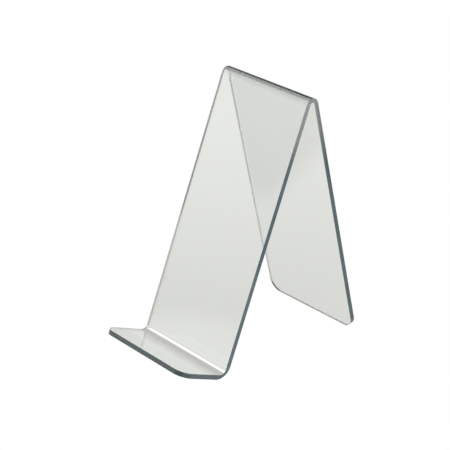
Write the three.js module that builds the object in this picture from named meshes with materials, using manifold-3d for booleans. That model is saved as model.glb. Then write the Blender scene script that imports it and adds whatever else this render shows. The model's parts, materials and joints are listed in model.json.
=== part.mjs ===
// Plate display stand: one strip of clear acrylic sheet, heat-bent twice across its width.
//
// From front to back the strip forms a short lip that tips up towards its front edge, a lower
// bend, a tall display panel that leans back, a tight top bend and a straight rear leg. The
// stand rests on the outside of the lower bend and on the end of the leg. The four corners of
// the strip are rounded. Units are millimetres: +Z is up, the panel faces -Y and the width runs
// along X. The origin is on the table, under the middle of the bounding box.

import * as THREE from "three";
import { mergeVertices } from "three/addons/utils/BufferGeometryUtils.js";
import Module from "manifold-3d";

// Driving dimensions.
const WIDTH = 76.2;
const SHEET_THICKNESS = 3;
const CORNER_RADIUS = 8;

// Lengths along the middle of the sheet's thickness, measured to where its straight runs
// would meet if the bends were sharp.
const LIP_LENGTH = 35;
const PANEL_LENGTH = 179;

// Angles from upright. The lip stands square to the panel.
const PANEL_LEAN = THREE.MathUtils.degToRad(20);
const LEG_LEAN = THREE.MathUtils.degToRad(15);

// Radii of the two faces round each bend. The sheet is stretched there and comes out thinner,
// so the outside radius isn't the inside radius plus the sheet's thickness.
const LOWER_BEND_INSIDE = 3.5;
const LOWER_BEND_OUTSIDE = 9;
const TOP_BEND_INSIDE = 1.55;
const TOP_BEND_OUTSIDE = 4.7;

// Resolution of the round stretches, and how far a cutter stands past the faces it crosses.
const BEND_DIVISIONS = 8;
const CORNER_DIVISIONS = 6;
const CUTTER_MARGIN = 1;

const SHEET_COLOUR = 0xd9dcd8;

const QUARTER_TURN = Math.PI / 2;
const HALF_THICKNESS = SHEET_THICKNESS / 2;

// Side view of the sheet's middle line: u runs backwards (row +Y) and v upwards (row +Z).
const lipDirection = new THREE.Vector2(-Math.cos(PANEL_LEAN), Math.sin(PANEL_LEAN));
const panelDirection = new THREE.Vector2(Math.sin(PANEL_LEAN), Math.cos(PANEL_LEAN));
const legDirection = new THREE.Vector2(Math.sin(LEG_LEAN), -Math.cos(LEG_LEAN));

// Unit normals on the display side: the top of the lip and the back of the leg.
const lipNormal = panelDirection.clone();
const legNormal = new THREE.Vector2(Math.cos(LEG_LEAN), Math.sin(LEG_LEAN));

const topKnee = panelDirection.clone().multiplyScalar(PANEL_LENGTH);

const lowerInside = lowerArcCentre(LOWER_BEND_INSIDE + HALF_THICKNESS);
const lowerOutside = lowerArcCentre(LOWER_BEND_OUTSIDE - HALF_THICKNESS);
const topInside = topArcCentre(TOP_BEND_INSIDE + HALF_THICKNESS);
const topOutside = topArcCentre(TOP_BEND_OUTSIDE - HALF_THICKNESS);

const legLength = legLengthToTable();

const lipEnd = lipDirection.clone().multiplyScalar(LIP_LENGTH);
const legEnd = topKnee.clone().addScaledVector(legDirection, legLength);

// Centre of a face's arc in the lower bend, a quarter turn on the display side of the sheet.
// It lies equally far from the middle lines of the lip and the panel.
function lowerArcCentre(fromMiddle) {
  return lipDirection.clone().add(panelDirection).multiplyScalar(fromMiddle);
}

// Centre of a face's arc in the top bend, equally far from the middle lines of panel and leg.
function topArcCentre(fromMiddle) {
  const halfAngle = (PANEL_LEAN + LEG_LEAN) / 2;
  const bisector = legDirection.clone().sub(panelDirection).normalize();
  return topKnee.clone().addScaledVector(bisector, fromMiddle / Math.sin(halfAngle));
}

// The leg is as long as it takes for the front edge of its end to reach the table, which is
// level with the lowest line of the lower bend.
function legLengthToTable() {
  const tableHeight = lowerOutside.y - LOWER_BEND_OUTSIDE;
  const edgeDrop = HALF_THICKNESS * legNormal.y;
  return (topKnee.y - edgeDrop - tableHeight) / Math.cos(LEG_LEAN);
}

// A point at the end of a straight run, on the display side (+1) or the under side (-1).
function faceCorner(end, normal, side) {
  return end.clone().addScaledVector(normal, side * HALF_THICKNESS);
}

// Outline of the bent sheet from the side: up the lip's edge, along the display side to the
// leg, then back along the under side. A straight run joins each arc to the point before it.
function sideOutline() {
  const lipFoot = -QUARTER_TURN - PANEL_LEAN;
  const panelFoot = -PANEL_LEAN;
  const panelTop = Math.PI - PANEL_LEAN;
  const legTop = LEG_LEAN;
  const lipUpper = faceCorner(lipEnd, lipNormal, 1);
  const lipLower = faceCorner(lipEnd, lipNormal, -1);
  const legBack = faceCorner(legEnd, legNormal, 1);
  const legFront = faceCorner(legEnd, legNormal, -1);

  const outline = new THREE.Shape();
  outline.moveTo(lipLower.x, lipLower.y);
  outline.lineTo(lipUpper.x, lipUpper.y);
  outline.absarc(lowerInside.x, lowerInside.y, LOWER_BEND_INSIDE, lipFoot, panelFoot, false);
  outline.absarc(topOutside.x, topOutside.y, TOP_BEND_OUTSIDE, panelTop, legTop, true);
  outline.lineTo(legBack.x, legBack.y);
  outline.lineTo(legFront.x, legFront.y);
  outline.absarc(topInside.x, topInside.y, TOP_BEND_INSIDE, legTop, panelTop, false);
  outline.absarc(lowerOutside.x, lowerOutside.y, LOWER_BEND_OUTSIDE, panelFoot, lipFoot, true);
  outline.closePath();
  return outline;
}

// The strip at its full width, with square corners.
function squareCorneredStrip() {
  const settings = { depth: WIDTH, bevelEnabled: false, curveSegments: BEND_DIVISIONS };
  const geometry = new THREE.ExtrudeGeometry(sideOutline(), settings);
  const along = new THREE.Vector3(0, 1, 0);
  const up = new THREE.Vector3(0, 0, 1);
  const across = new THREE.Vector3(1, 0, 0);
  geometry.translate(0, 0, -WIDTH / 2);
  geometry.applyMatrix4(new THREE.Matrix4().makeBasis(along, up, across));
  return geometry;
}

// The waste outside one rounded corner, flat: x runs to the strip's edge and y to its end.
function cornerWaste() {
  const past = CUTTER_MARGIN;
  const waste = new THREE.Shape();
  waste.moveTo(-CORNER_RADIUS, past);
  waste.lineTo(-CORNER_RADIUS, 0);
  waste.absarc(-CORNER_RADIUS, -CORNER_RADIUS, CORNER_RADIUS, QUARTER_TURN, 0, true);
  waste.lineTo(past, -CORNER_RADIUS);
  waste.lineTo(past, past);
  waste.closePath();
  return waste;
}

// A cutter for the corner at the end of a straight run, on the right (+1) or left (-1) side.
// It runs through the sheet's thickness.
function cornerCutter(end, direction, side) {
  const depth = SHEET_THICKNESS + 2 * CUTTER_MARGIN;
  const settings = { depth, bevelEnabled: false, curveSegments: CORNER_DIVISIONS };
  const geometry = new THREE.ExtrudeGeometry(cornerWaste(), settings);
  geometry.translate(0, 0, -depth / 2);
  const across = new THREE.Vector3(side, 0, 0);
  const outward = new THREE.Vector3(0, direction.x, direction.y);
  const through = new THREE.Vector3().crossVectors(across, outward);
  const placed = new THREE.Matrix4().makeBasis(across, outward, through);
  placed.setPosition(side * WIDTH / 2, end.x, end.y);
  geometry.applyMatrix4(placed);
  return geometry;
}

// A closed mesh becomes a solid once the vertices that its faces share are merged.
function toSolid(wasm, geometry) {
  const bare = geometry.clone();
  bare.deleteAttribute("normal");
  bare.deleteAttribute("uv");
  const merged = mergeVertices(bare);
  const vertProperties = new Float32Array(merged.attributes.position.array);
  const triVerts = new Uint32Array(merged.index.array);
  return new wasm.Manifold(new wasm.Mesh({ numProp: 3, vertProperties, triVerts }));
}

function toGeometry(solid) {
  const mesh = solid.getMesh();
  const geometry = new THREE.BufferGeometry();
  geometry.setAttribute("position", new THREE.BufferAttribute(mesh.vertProperties, 3));
  geometry.setIndex(new THREE.BufferAttribute(mesh.triVerts, 1));
  geometry.computeVertexNormals();
  return geometry;
}

// The bent strip with its four corners rounded.
function bentSheet(wasm) {
  let solid = toSolid(wasm, squareCorneredStrip());
  for (const side of [-1, 1]) {
    const lipCutter = cornerCutter(lipEnd, lipDirection, side);
    const legCutter = cornerCutter(legEnd, legDirection, side);
    solid = solid.subtract(toSolid(wasm, lipCutter));
    solid = solid.subtract(toSolid(wasm, legCutter));
  }
  return toGeometry(solid);
}

// Moves the sheet so that the middle of its bounding box's floor is at the origin.
function standOnOrigin(geometry) {
  geometry.computeBoundingBox();
  const { min, max } = geometry.boundingBox;
  geometry.translate(0, -(min.y + max.y) / 2, -min.z);
}

function acrylicMaterial() {
  const look = { color: SHEET_COLOUR, roughness: 0.05, metalness: 0 };
  return new THREE.MeshStandardMaterial({ ...look, transparent: true, opacity: 0.35 });
}

const wasm = await Module();
wasm.setup();

const sheetGeometry = bentSheet(wasm);
standOnOrigin(sheetGeometry);

const sheet = new THREE.Mesh(sheetGeometry, acrylicMaterial());
sheet.name = "bent_acrylic_sheet";

const group = new THREE.Group();
group.add(sheet);

export default group;
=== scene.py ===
import json
import math
from collections import namedtuple

import bpy
from mathutils import Matrix, Vector


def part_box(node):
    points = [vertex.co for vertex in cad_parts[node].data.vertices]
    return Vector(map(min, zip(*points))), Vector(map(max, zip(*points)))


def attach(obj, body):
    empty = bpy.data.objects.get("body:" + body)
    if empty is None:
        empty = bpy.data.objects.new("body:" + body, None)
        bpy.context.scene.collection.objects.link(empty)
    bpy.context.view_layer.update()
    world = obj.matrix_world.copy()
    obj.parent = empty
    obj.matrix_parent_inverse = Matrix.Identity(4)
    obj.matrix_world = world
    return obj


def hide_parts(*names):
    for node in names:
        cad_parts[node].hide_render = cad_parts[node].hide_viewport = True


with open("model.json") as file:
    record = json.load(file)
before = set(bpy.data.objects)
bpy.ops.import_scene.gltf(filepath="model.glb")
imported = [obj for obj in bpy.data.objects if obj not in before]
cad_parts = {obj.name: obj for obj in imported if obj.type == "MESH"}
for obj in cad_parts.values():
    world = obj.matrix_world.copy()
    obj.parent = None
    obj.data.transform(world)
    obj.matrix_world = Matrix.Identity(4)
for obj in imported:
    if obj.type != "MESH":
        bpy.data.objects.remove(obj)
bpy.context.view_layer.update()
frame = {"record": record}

NODE = "bent_acrylic_sheet"
BODY = "root"

# The sheet's design, in metres and radians, as the CAD part has it.
THICKNESS = 0.003
CORNER_RADIUS = 0.008
LIP_LENGTH = 0.035
PANEL_LENGTH = 0.179
PANEL_LEAN = math.radians(20)
LEG_LEAN = math.radians(15)
LOWER_BEND_INSIDE = 0.0035
LOWER_BEND_OUTSIDE = 0.009
TOP_BEND_INSIDE = 0.00155
TOP_BEND_OUTSIDE = 0.0047

# The fine surface: how far the polished edges are rounded over, and how finely curves are cut.
EDGE_ROUND = 0.00005
EDGE_STEPS = 6
CORNER_STEPS = 20
LOWER_BEND_STEPS = 48
TOP_BEND_STEPS = 64

# Directions seen from the side, as (Y, Z): along the lip, up the panel and down the leg, and
# the way that the display side faces on the lip and on the leg.
LIP = Vector((-math.cos(PANEL_LEAN), math.sin(PANEL_LEAN)))
PANEL = Vector((math.sin(PANEL_LEAN), math.cos(PANEL_LEAN)))
LEG = Vector((math.sin(LEG_LEAN), -math.cos(LEG_LEAN)))
LIP_UP = PANEL
LEG_BACK = Vector((math.cos(LEG_LEAN), math.sin(LEG_LEAN)))


# ---------------------------------------------------------------- shape of the bent strip

# A line across the strip, seen from the side: its points on the display side and on the under
# side, the way that the display side faces, its distance from the strip's nearer end, and the
# direction of that end.
Station = namedtuple("Station", "display under facing depth outward")


def rounded_end(tip, outward, facing):
    """Stations from a strip end inwards, as far as its rounded corners reach."""
    half = facing * (THICKNESS / 2)
    stations = []
    for i in range(CORNER_STEPS + 1):
        depth = CORNER_RADIUS * (1 - math.cos(math.pi / 2 * i / CORNER_STEPS))
        middle = tip - outward * depth
        stations.append(Station(middle + half, middle - half, facing, depth, outward))
    return stations


def bend(display_arc, under_arc, hollow_side, start, turn, steps):
    """Stations round a bend. Each arc is (centre, radius).

    hollow_side is -1 where the display side is inside the bend, and 1 where it is outside.
    """
    stations = []
    for i in range(steps + 1):
        angle = start + turn * i / steps
        out = Vector((math.cos(angle), math.sin(angle)))
        display = display_arc[0] + out * display_arc[1]
        under = under_arc[0] + out * under_arc[1]
        stations.append(Station(display, under, out * hollow_side, CORNER_RADIUS, Vector((0, 0))))
    return stations


def strip_stations():
    """All stations from the lip's end to the leg's end, with the lower bend's sharp corner at (0, 0).

    That corner, and the top bend's at knee, are where the middle planes of the straight parts meet.
    """
    half = THICKNESS / 2
    knee = PANEL * PANEL_LENGTH

    lower_inside = (LIP + PANEL) * (LOWER_BEND_INSIDE + half)
    lower_outside = (LIP + PANEL) * (LOWER_BEND_OUTSIDE - half)
    lower_start = -math.pi / 2 - PANEL_LEAN
    lower = bend(
        (lower_inside, LOWER_BEND_INSIDE), (lower_outside, LOWER_BEND_OUTSIDE),
        -1, lower_start, math.pi / 2, LOWER_BEND_STEPS,
    )

    into_top = (LEG - PANEL).normalized() / math.sin((PANEL_LEAN + LEG_LEAN) / 2)
    top_inside = knee + into_top * (TOP_BEND_INSIDE + half)
    top_outside = knee + into_top * (TOP_BEND_OUTSIDE - half)
    top_turn = math.pi - PANEL_LEAN - LEG_LEAN
    top = bend(
        (top_outside, TOP_BEND_OUTSIDE), (top_inside, TOP_BEND_INSIDE),
        1, math.pi - PANEL_LEAN, -top_turn, TOP_BEND_STEPS,
    )

    table = lower_outside.y - LOWER_BEND_OUTSIDE
    leg_length = (knee.y - half * LEG_BACK.y - table) / math.cos(LEG_LEAN)
    lip_end = rounded_end(LIP * LIP_LENGTH, LIP, LIP_UP)
    leg_end = rounded_end(knee + LEG * leg_length, LEG, LEG_BACK)
    return lip_end + lower + top + leg_end[::-1]


def side_outline(station, half_width):
    """Where the strip's outline crosses a station on the +X side, and the outline's way out there.

    Gives X, and the outward direction's share along the strip and its share in X.
    """
    along = 1 - station.depth / CORNER_RADIUS
    across = math.sqrt(max(0.0, 1 - along * along))
    return half_width - CORNER_RADIUS * (1 - across), along, across


def edge_profile():
    """Section of the rounded-over edge, from the display side to the under side.

    Each point is (inset from the outline, depth below the nearer face, its face (1 or -1), and
    the surface normal's share outwards and its share towards the display side).
    """
    upper = []
    for i in range(EDGE_STEPS + 1):
        angle = math.pi / 2 * (1 - i / EDGE_STEPS)
        outward, upward = math.cos(angle), math.sin(angle)
        upper.append((EDGE_ROUND * (1 - outward), EDGE_ROUND * (1 - upward), 1, outward, upward))
    lower = [(inset, depth, -1, outward, -upward) for inset, depth, _, outward, upward in upper]
    return upper + lower[::-1]


def distances_along(stations):
    """How far along the sheet's middle each station is, from the lip's end."""
    distances = [0.0]
    for before, after in zip(stations, stations[1:]):
        step = (after.display + after.under - before.display - before.under).length / 2
        distances.append(distances[-1] + step)
    return distances


def sheet_mesh(stations, half_width, corner):
    """The bent strip as one closed mesh: two broad faces, and a rounded rim all the way round.

    The rim's faces are marked, so that the material can tell them from the broad faces. Each
    point also carries its place on the sheet as it was before it was bent.
    """
    profile = edge_profile()
    distances = distances_along(stations)
    points = []
    normals = []
    flat_places = []
    for side in (1, -1):
        for station, distance in zip(stations, distances):
            x, along, across = side_outline(station, half_width)
            for inset, below, face, outward, upward in profile:
                edge = station.display if face == 1 else station.under
                place = edge - station.facing * (face * below) - station.outward * (along * inset)
                normal = station.facing * upward + station.outward * (along * outward)
                from_middle = side * (x - across * inset)
                points.append(corner + Vector((from_middle, place.x, place.y)))
                normals.append(Vector((side * across * outward, normal.x, normal.y)).normalized())
                flat_places.extend((from_middle, distance, face * (THICKNESS / 2 - below)))

    rows, count = len(stations), len(profile)

    def at(side, row, step):
        return (side * rows + row) * count + step

    broad = []
    rim = []
    last = count - 1
    for row in range(rows - 1):
        after = row + 1
        broad.append((at(1, row, 0), at(0, row, 0), at(0, after, 0), at(1, after, 0)))
        broad.append((at(0, row, last), at(1, row, last), at(1, after, last), at(0, after, last)))
        for step in range(last):
            lower = step + 1
            rim.append((at(0, row, step), at(0, row, lower), at(0, after, lower), at(0, after, step)))
            rim.append((at(1, row, lower), at(1, row, step), at(1, after, step), at(1, after, lower)))
    end = rows - 1
    for step in range(last):
        lower = step + 1
        rim.append((at(1, 0, step), at(1, 0, lower), at(0, 0, lower), at(0, 0, step)))
        rim.append((at(0, end, step), at(0, end, lower), at(1, end, lower), at(1, end, step)))

    mesh = bpy.data.meshes.new("clear_bent_sheet")
    mesh.from_pydata(points, [], broad + rim)
    mark = mesh.attributes.new("rim", "FLOAT", "FACE")
    mark.data.foreach_set("value", [0.0] * len(broad) + [1.0] * len(rim))
    flat = mesh.attributes.new("flat_place", "FLOAT_VECTOR", "POINT")
    flat.data.foreach_set("vector", flat_places)
    mesh.shade_smooth()
    mesh.normals_split_custom_set_from_vertices(normals)
    return mesh


def add_object(name, data):
    """A new object in the scene, with the mesh or camera that it shows."""
    obj = bpy.data.objects.new(name, data)
    bpy.context.scene.collection.objects.link(obj)
    return obj


# ---------------------------------------------------------------- shader nodes

def add(tree, kind, inputs=None, **settings):
    """A new shader node. Each input is given as a value, or as the socket that feeds it."""
    node = tree.nodes.new("ShaderNode" + kind)
    for name, value in settings.items():
        setattr(node, name, value)
    for name, value in (inputs or {}).items():
        if isinstance(value, bpy.types.NodeSocket):
            tree.links.new(value, node.inputs[name])
        else:
            node.inputs[name].default_value = value
    return node


def calculate(tree, operation, first, second=0.0):
    """The result of a sum or a comparison on one or two numbers."""
    return add(tree, "Math", {0: first, 1: second}, operation=operation).outputs[0]


def fade(tree, value, start, end, at_start=0.0, at_end=1.0):
    """Runs smoothly from one number to another as a value goes from start to end."""
    inputs = {"Value": value, "From Min": start, "From Max": end, "To Min": at_start, "To Max": at_end}
    return add(tree, "MapRange", inputs, interpolation_type="SMOOTHSTEP").outputs["Result"]


def blend(tree, factor, first, second, kind="FLOAT"):
    """From the first value to the second as the factor goes from 0 to 1."""
    node = add(tree, "Mix", data_type=kind)
    sockets = [s for s in node.inputs if s.enabled]
    for socket, value in zip(sockets, (factor, first, second)):
        if isinstance(value, bpy.types.NodeSocket):
            tree.links.new(value, socket)
        else:
            socket.default_value = value
    return next(s for s in node.outputs if s.enabled)


def empty_tree(owner):
    """The node tree of a material or world, with nothing in it."""
    owner.use_nodes = True
    owner.node_tree.nodes.clear()
    return owner.node_tree


# ---------------------------------------------------------------- material

WHITE = (1, 1, 1, 1)

# How strongly this sheet absorbs red, green and blue, per metre. That is about 3% in its thickness,
# more than real clear acrylic takes, so that two layers show darker than one.
ABSORBED = (11.8, 10.2, 9.3)
ACRYLIC_IOR = 1.49

# Roughness of the polished faces from clean to smudged, along a hairline, and in the top bend,
# which is hazy. The haze comes in between two heights.
FACE_ROUGHNESS = (0.0, 0.012)
HAIRLINE_ROUGHNESS = 0.12
BEND_ROUGHNESS = 0.3
BEND_HEIGHTS = (0.1565, 0.1585)

# The sawn edges are buffed, but let only part of the light through. Each value is given for a
# dull stretch and for a well buffed one.
EDGE_ROUGHNESS = (0.08, 0.04)
EDGE_CLEARNESS = (0.52, 0.62)
# Painted shade: the rim's slate colours stand in for the dark bands that the clear sheet's edges show;
# the dull and buffed stretches are the edges' real finish.
EDGE_DULL_PAINTED_SHADE = (0.29, 0.385, 0.425, 1)
EDGE_BUFFED_PAINTED_SHADE = (0.38, 0.48, 0.52, 1)

# Painted light: towards the top bend the edges are painted paler, between two heights.
PAINTED_PALE_HEIGHTS = (0.115, 0.153)
EDGE_PAINTED_PALE = (0.92, 0.96, 0.975, 1)

# How high the fine relief stands, in metres: the slow waves of the cast sheet, the lines that
# wiping leaves along it, and the saw's lines across the edges.
WAVE_RELIEF = 0.00002
WIPE_RELIEF = 0.0000025
SAW_RELIEF = 0.000004

# How many patches of each kind of noise go to a metre: across the sheet, along it and through it.
WAVE_PATCHES = (24, 9, 24)
WIPE_PATCHES = (520, 7, 60)
SMUDGE_PATCHES = (45, 45, 45)
HAIRLINE_PATCHES = (160, 14, 60)
SCRATCHED_PATCHES = (30, 22, 60)
SAW_PATCHES = 1400.0

# Where the noise, which runs from 0 to 1, starts and ends to count: smudges on the faces, dull and
# buffed stretches of the edges, and the areas with hairlines. A hairline is where its noise
# crosses the middle, as wide as the last number says.
SMUDGED = (0.4, 0.75)
BUFFED = (0.3, 0.7)
SCRATCHED = (0.52, 0.6)
NOISE_MIDDLE = 0.5
HAIRLINE_WIDTH = 0.006


def cloud(tree, place, patches, detail):
    """Soft noise over the flat sheet, with so many patches to a metre along each axis."""
    scaled = add(tree, "VectorMath", {0: place, 1: patches}, operation="MULTIPLY").outputs["Vector"]
    return add(tree, "TexNoise", {"Vector": scaled, "Scale": 1.0, "Detail": detail}).outputs["Fac"]


def hairlines(tree, place):
    """Fine scratches: 1 along some thin lines that wander along the sheet, and 0 off them."""
    noise = cloud(tree, place, HAIRLINE_PATCHES, 1.0)
    from_middle = calculate(tree, "ABSOLUTE", calculate(tree, "SUBTRACT", noise, NOISE_MIDDLE))
    line = fade(tree, from_middle, HAIRLINE_WIDTH, 0.0)
    scratched = fade(tree, cloud(tree, place, SCRATCHED_PATCHES, 0.0), *SCRATCHED)
    return calculate(tree, "MULTIPLY", line, scratched)


def saw_lines(tree, place):
    """The saw's lines across the edges: noise that changes only along the sheet's outline."""
    parts = add(tree, "SeparateXYZ", {0: place}).outputs
    along = calculate(tree, "ADD", parts["X"], parts["Y"])
    inputs = {"W": along, "Scale": SAW_PATCHES, "Detail": 2.0}
    return add(tree, "TexNoise", inputs, noise_dimensions="1D").outputs["Fac"]


def relief(tree, place, rim, scratches):
    """The surface's bumps, from the largest to the finest."""
    waves = cloud(tree, place, WAVE_PATCHES, 0.0)
    wipes = cloud(tree, place, WIPE_PATCHES, 2.0)
    fine = calculate(tree, "SUBTRACT", wipes, scratches)
    fine = blend(tree, rim, fine, 0.0)
    sawn = blend(tree, rim, 0.0, saw_lines(tree, place))
    normal = None
    for height, distance in ((waves, WAVE_RELIEF), (fine, WIPE_RELIEF), (sawn, SAW_RELIEF)):
        inputs = {"Height": height, "Distance": distance, "Strength": 1.0}
        if normal:
            inputs["Normal"] = normal
        normal = add(tree, "Bump", inputs).outputs["Normal"]
    return normal


def acrylic():
    """Clear polished acrylic, with sawn and buffed edges that are a little duller than its faces, and
    painted shade and light in the edges' colour.
    """
    material = bpy.data.materials.new("clear_acrylic_sheet")
    tree = empty_tree(material)
    rim = add(tree, "Attribute", attribute_name="rim").outputs["Fac"]
    place = add(tree, "Attribute", attribute_name="flat_place").outputs["Vector"]
    height = add(tree, "SeparateXYZ", {0: add(tree, "TexCoord").outputs["Object"]}).outputs["Z"]
    smudge = cloud(tree, place, SMUDGE_PATCHES, 4.0)
    scratches = hairlines(tree, place)

    face_rough = fade(tree, smudge, *SMUDGED, *FACE_ROUGHNESS)
    face_rough = blend(tree, scratches, face_rough, HAIRLINE_ROUGHNESS)
    face_rough = fade(tree, height, *BEND_HEIGHTS, face_rough, BEND_ROUGHNESS)
    buffed = fade(tree, smudge, *BUFFED)
    edge_rough = blend(tree, buffed, *EDGE_ROUGHNESS)
    edge_clear = blend(tree, buffed, *EDGE_CLEARNESS)
    # The rim's colour: painted shade in its slate tones, and painted light where it pales towards the
    # top bend.
    edge_colour_painted_light = blend(tree, buffed, EDGE_DULL_PAINTED_SHADE, EDGE_BUFFED_PAINTED_SHADE, "RGBA")
    edge_colour_painted_light = blend(tree, fade(tree, height, *PAINTED_PALE_HEIGHTS), edge_colour_painted_light, EDGE_PAINTED_PALE, "RGBA")
    shader = add(tree, "BsdfPrincipled", {
        "Base Color": blend(tree, rim, WHITE, edge_colour_painted_light, "RGBA"),
        "Transmission Weight": blend(tree, rim, 1.0, edge_clear),
        "IOR": ACRYLIC_IOR,
        "Roughness": blend(tree, rim, face_rough, edge_rough),
        "Normal": relief(tree, place, rim, scratches),
    })
    density = max(ABSORBED)
    tint = [1 - share / density for share in ABSORBED]
    body = add(tree, "VolumeAbsorption", {"Color": (*tint, 1), "Density": density})
    add(tree, "OutputMaterial", {"Surface": shader.outputs["BSDF"], "Volume": body.outputs["Volume"]})
    return material


# ---------------------------------------------------------------- studio

# The camera sees a plain white background. The light that reaches the stand comes from a dim
# room, a pale table that sweeps up behind it, and a few lamps.
STUDIO_TINT = (0.99, 1.0, 0.955, 1)
ROOM_LIGHT = 0.16
SWEEP_LIGHT = 0.7
SWEEP_TOP = math.radians(9)
SWEEP_BLUR = math.radians(3)
# The sweep comes in from the sides to the back, by how far a direction points backwards.
SWEEP_BEHIND = (-0.2, 0.3)

# Each lamp's azimuth from +X towards +Y, elevation, half width and half height, in degrees, and how
# bright it is: a softbox in front on the left, brighter above, and a pale wall on the left.
LAMPS = (
    (222, 7, 17, 17, 0.9),
    (222, 33, 17, 9, 1.5),
    (168, 38, 18, 22, 0.45),
)
LAMP_BLUR = math.radians(3)

# Painted light on the table: it is painted pale in a pool round the middle of the line that the stand
# rests on, darker outside it, and palest far away. The pool fades out between two distances.
POOL = (0.03, 0.08)
POOL_LIGHT = 0.77
TABLE_NEAR = 0.66
TABLE_FAR = 0.84
TABLE_FAR_AT = 0.5
TABLE_HALF = 6.0

# Darker patches painted into the table's light, to give the clear faces and edges some contrast: the
# centre of each, how far it is turned, its half sizes, and how much light it gives back.
PAINTED_DARK_PATCHES = (
    ((-0.172, -0.042), 0.0, (0.072, 0.055), 0.08),
    ((0.305, 0.155), math.radians(45), (0.18, 0.12), 0.35),
)
DARK_PATCH_BLUR = 0.018

# Painted shade and a painted bright line on the table, in place of what the lower bend does as a lens:
# it would shade the table where it rests, and gather the light into a thin bright line behind. These
# are distances behind the line that it rests on, and how far both reach to each side.
SHADE = (-0.002, 0.0065)
SHADE_LIGHT = 0.56
BRIGHT = (0.0065, 0.0105)
BRIGHT_LIGHT = 1.2
LINE_BLUR = 0.0005
LINE_HALF = 0.039


def within(tree, value, centre, half, blur):
    """1 where a value is nearer than half to the centre, and 0 further off."""
    distance = calculate(tree, "ABSOLUTE", calculate(tree, "SUBTRACT", value, centre))
    return fade(tree, distance, half + blur, half - blur)


def measure(tree, place, axis):
    """How far a place or a direction reaches along an axis."""
    return add(tree, "VectorMath", {0: place, 1: axis}, operation="DOT_PRODUCT").outputs["Value"]


def seen_white(tree, kind, strength):
    """The studio's light for the stand, and plain white where the camera looks straight at it."""
    light = add(tree, kind, {"Color": STUDIO_TINT, "Strength": strength}).outputs[0]
    white = add(tree, kind, {"Color": WHITE, "Strength": 1.0}).outputs[0]
    to_camera = add(tree, "LightPath").outputs["Is Camera Ray"]
    return add(tree, "MixShader", {0: to_camera, 1: light, 2: white}).outputs[0]


def lamp_mask(tree, direction, azimuth, elevation, half_width, half_height):
    """1 in the directions that a lamp covers, and 0 elsewhere."""
    azimuth, elevation = math.radians(azimuth), math.radians(elevation)
    level = math.cos(elevation)
    towards = Vector((level * math.cos(azimuth), level * math.sin(azimuth), math.sin(elevation)))
    across = Vector((-math.sin(azimuth), math.cos(azimuth), 0))
    mask = calculate(tree, "GREATER_THAN", measure(tree, direction, towards))
    for axis, half in ((across, half_width), (towards.cross(across), half_height)):
        reach = math.sin(math.radians(half))
        inside = within(tree, measure(tree, direction, axis), 0, reach, math.sin(LAMP_BLUR))
        mask = calculate(tree, "MULTIPLY", mask, inside)
    return mask


def studio_world():
    """The light that comes from all round, above the table."""
    world = bpy.data.worlds.new("studio")
    tree = empty_tree(world)
    direction = add(tree, "TexCoord").outputs["Generated"]
    parts = add(tree, "SeparateXYZ", {0: direction}).outputs
    low = fade(tree, parts["Z"], math.sin(SWEEP_TOP + SWEEP_BLUR), math.sin(SWEEP_TOP - SWEEP_BLUR))
    behind = fade(tree, parts["Y"], *SWEEP_BEHIND)
    sweep = calculate(tree, "MULTIPLY", low, behind)
    light = blend(tree, sweep, ROOM_LIGHT, SWEEP_LIGHT)
    for *lamp, strength in LAMPS:
        light = blend(tree, lamp_mask(tree, direction, *lamp), light, strength)
    add(tree, "OutputWorld", {"Surface": seen_white(tree, "Background", light)})
    bpy.context.scene.world = world


def dark_patch_mask(tree, place, centre, turn, half_sizes):
    """1 on a darker patch painted into the table's light, and 0 off it."""
    along = Vector((math.cos(turn), math.sin(turn), 0))
    across = Vector((-math.sin(turn), math.cos(turn), 0))
    middle = Vector((*centre, 0))
    mask = 1.0
    for axis, half in zip((along, across), half_sizes):
        inside = within(tree, measure(tree, place, axis), middle.dot(axis), half, DARK_PATCH_BLUR)
        mask = calculate(tree, "MULTIPLY", mask, inside)
    return mask


def table_light(tree, rest_y):
    """The painted light that comes up from each place on the table. The stand rests on it at Y =
    rest_y.
    """
    place = add(tree, "NewGeometry").outputs["Position"]
    parts = add(tree, "SeparateXYZ", {0: place}).outputs
    foot = (0, rest_y, 0)
    distance = add(tree, "VectorMath", {0: place, 1: foot}, operation="DISTANCE").outputs["Value"]
    # Half of a smooth fade: it starts steepest, with TABLE_NEAR in its middle, at no distance.
    mirrored = 2 * TABLE_NEAR - TABLE_FAR
    light = fade(tree, distance, -TABLE_FAR_AT, TABLE_FAR_AT, mirrored, TABLE_FAR)
    # Painted light: a pale pool round the middle of the line that the stand rests on.
    light = fade(tree, distance, *POOL, POOL_LIGHT, light)
    # Darker patches painted into the table's light.
    for *dark_patch, strength in PAINTED_DARK_PATCHES:
        light = blend(tree, dark_patch_mask(tree, place, *dark_patch), light, strength)
    under = within(tree, parts["X"], 0, LINE_HALF, LINE_BLUR)
    # Painted shade and a painted bright line on the table, under the lower bend.
    for (start, end), strength in ((SHADE, SHADE_LIGHT), (BRIGHT, BRIGHT_LIGHT)):
        middle = rest_y + (start + end) / 2
        line = within(tree, parts["Y"], middle, (end - start) / 2, LINE_BLUR)
        light = blend(tree, calculate(tree, "MULTIPLY", line, under), light, strength)
    return light


def floor(rest_y):
    """The table, as one flat face that reaches past every view. It glows: plain white where the camera
    looks at it, and with the table's painted light for the stand.
    """
    half = TABLE_HALF
    corners = [(-half, -half, 0), (half, -half, 0), (half, half, 0), (-half, half, 0)]
    mesh = bpy.data.meshes.new("floor")
    mesh.from_pydata(corners, [], [(0, 1, 2, 3)])
    material = bpy.data.materials.new("pale_floor")
    tree = empty_tree(material)
    surface = seen_white(tree, "Emission", table_light(tree, rest_y))
    add(tree, "OutputMaterial", {"Surface": surface})
    mesh.materials.append(material)
    add_object("floor", mesh)


# ---------------------------------------------------------------- camera

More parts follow.
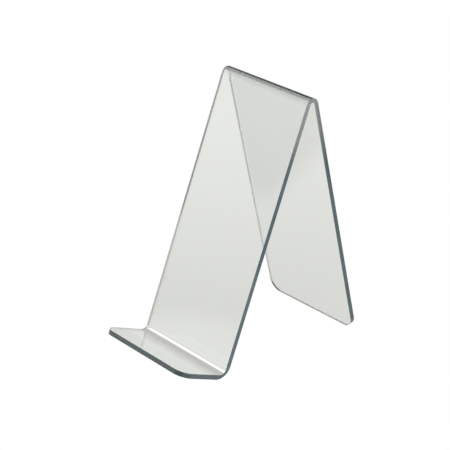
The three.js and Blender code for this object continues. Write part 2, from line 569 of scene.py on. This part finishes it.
CAMERA_AZIMUTH = math.radians(49.318)
CAMERA_ELEVATION = math.radians(23.139)
CAMERA_ROLL = math.radians(1.529)
CAMERA_DISTANCE = 1.01526
CAMERA_LENS = 133.437
CAMERA_SENSOR = 36
CAMERA_CLIP = (0.01, 50)
# Where the camera aims, from the lower bend's sharp corner: to the picture's right, and up.
AIM_RIGHT = 0.022274
AIM_UP = 0.079219


def camera(corner):
    """The camera, to the right in front of the stand and a little above it."""
    azimuth, elevation = CAMERA_AZIMUTH, CAMERA_ELEVATION
    back = Vector((
        math.sin(azimuth) * math.cos(elevation),
        -math.cos(azimuth) * math.cos(elevation),
        math.sin(elevation),
    ))
    right = Vector((math.cos(azimuth), math.sin(azimuth), 0))
    up = back.cross(right)
    aim = corner + right * AIM_RIGHT + up * AIM_UP
    turn_right = right * math.cos(CAMERA_ROLL) + up * math.sin(CAMERA_ROLL)
    turn_up = up * math.cos(CAMERA_ROLL) - right * math.sin(CAMERA_ROLL)
    data = bpy.data.cameras.new("camera")
    data.lens = CAMERA_LENS
    data.sensor_width = CAMERA_SENSOR
    data.clip_start, data.clip_end = CAMERA_CLIP
    obj = add_object("camera", data)
    rotation = Matrix((turn_right, turn_up, back)).transposed()
    obj.matrix_world = Matrix.Translation(aim + back * CAMERA_DISTANCE) @ rotation.to_4x4()
    bpy.context.scene.camera = obj


# ---------------------------------------------------------------- build

def sharp_corner(stations, low):
    """Where the lower bend's sharp corner is, when the strip's front and underside are at low."""
    outline = [station.display for station in stations] + [station.under for station in stations]
    return Vector((0, low.y - min(p.x for p in outline), low.z - min(p.y for p in outline)))


def rest_line():
    """How far back the line is that the lower bend rests on, from the record."""
    mount = next(m for m in frame["record"]["mounts"] if m["name"] == "table_rest")
    return mount["pos_m"][1]


low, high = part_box(NODE)
stations = strip_stations()
corner = sharp_corner(stations, low)
mesh = sheet_mesh(stations, (high.x - low.x) / 2, corner)
mesh.materials.append(acrylic())
sheet = add_object("clear_bent_sheet", mesh)
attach(sheet, BODY)
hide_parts(NODE)

studio_world()
floor(rest_line())
camera(corner)

bpy.context.scene.view_settings.view_transform = "Standard"

# Light runs a long way inside the clear sheet, from face to face, before it comes out.
BOUNCES = 48
rays = bpy.context.scene.cycles
rays.max_bounces = BOUNCES
rays.transmission_bounces = BOUNCES
rays.glossy_bounces = BOUNCES
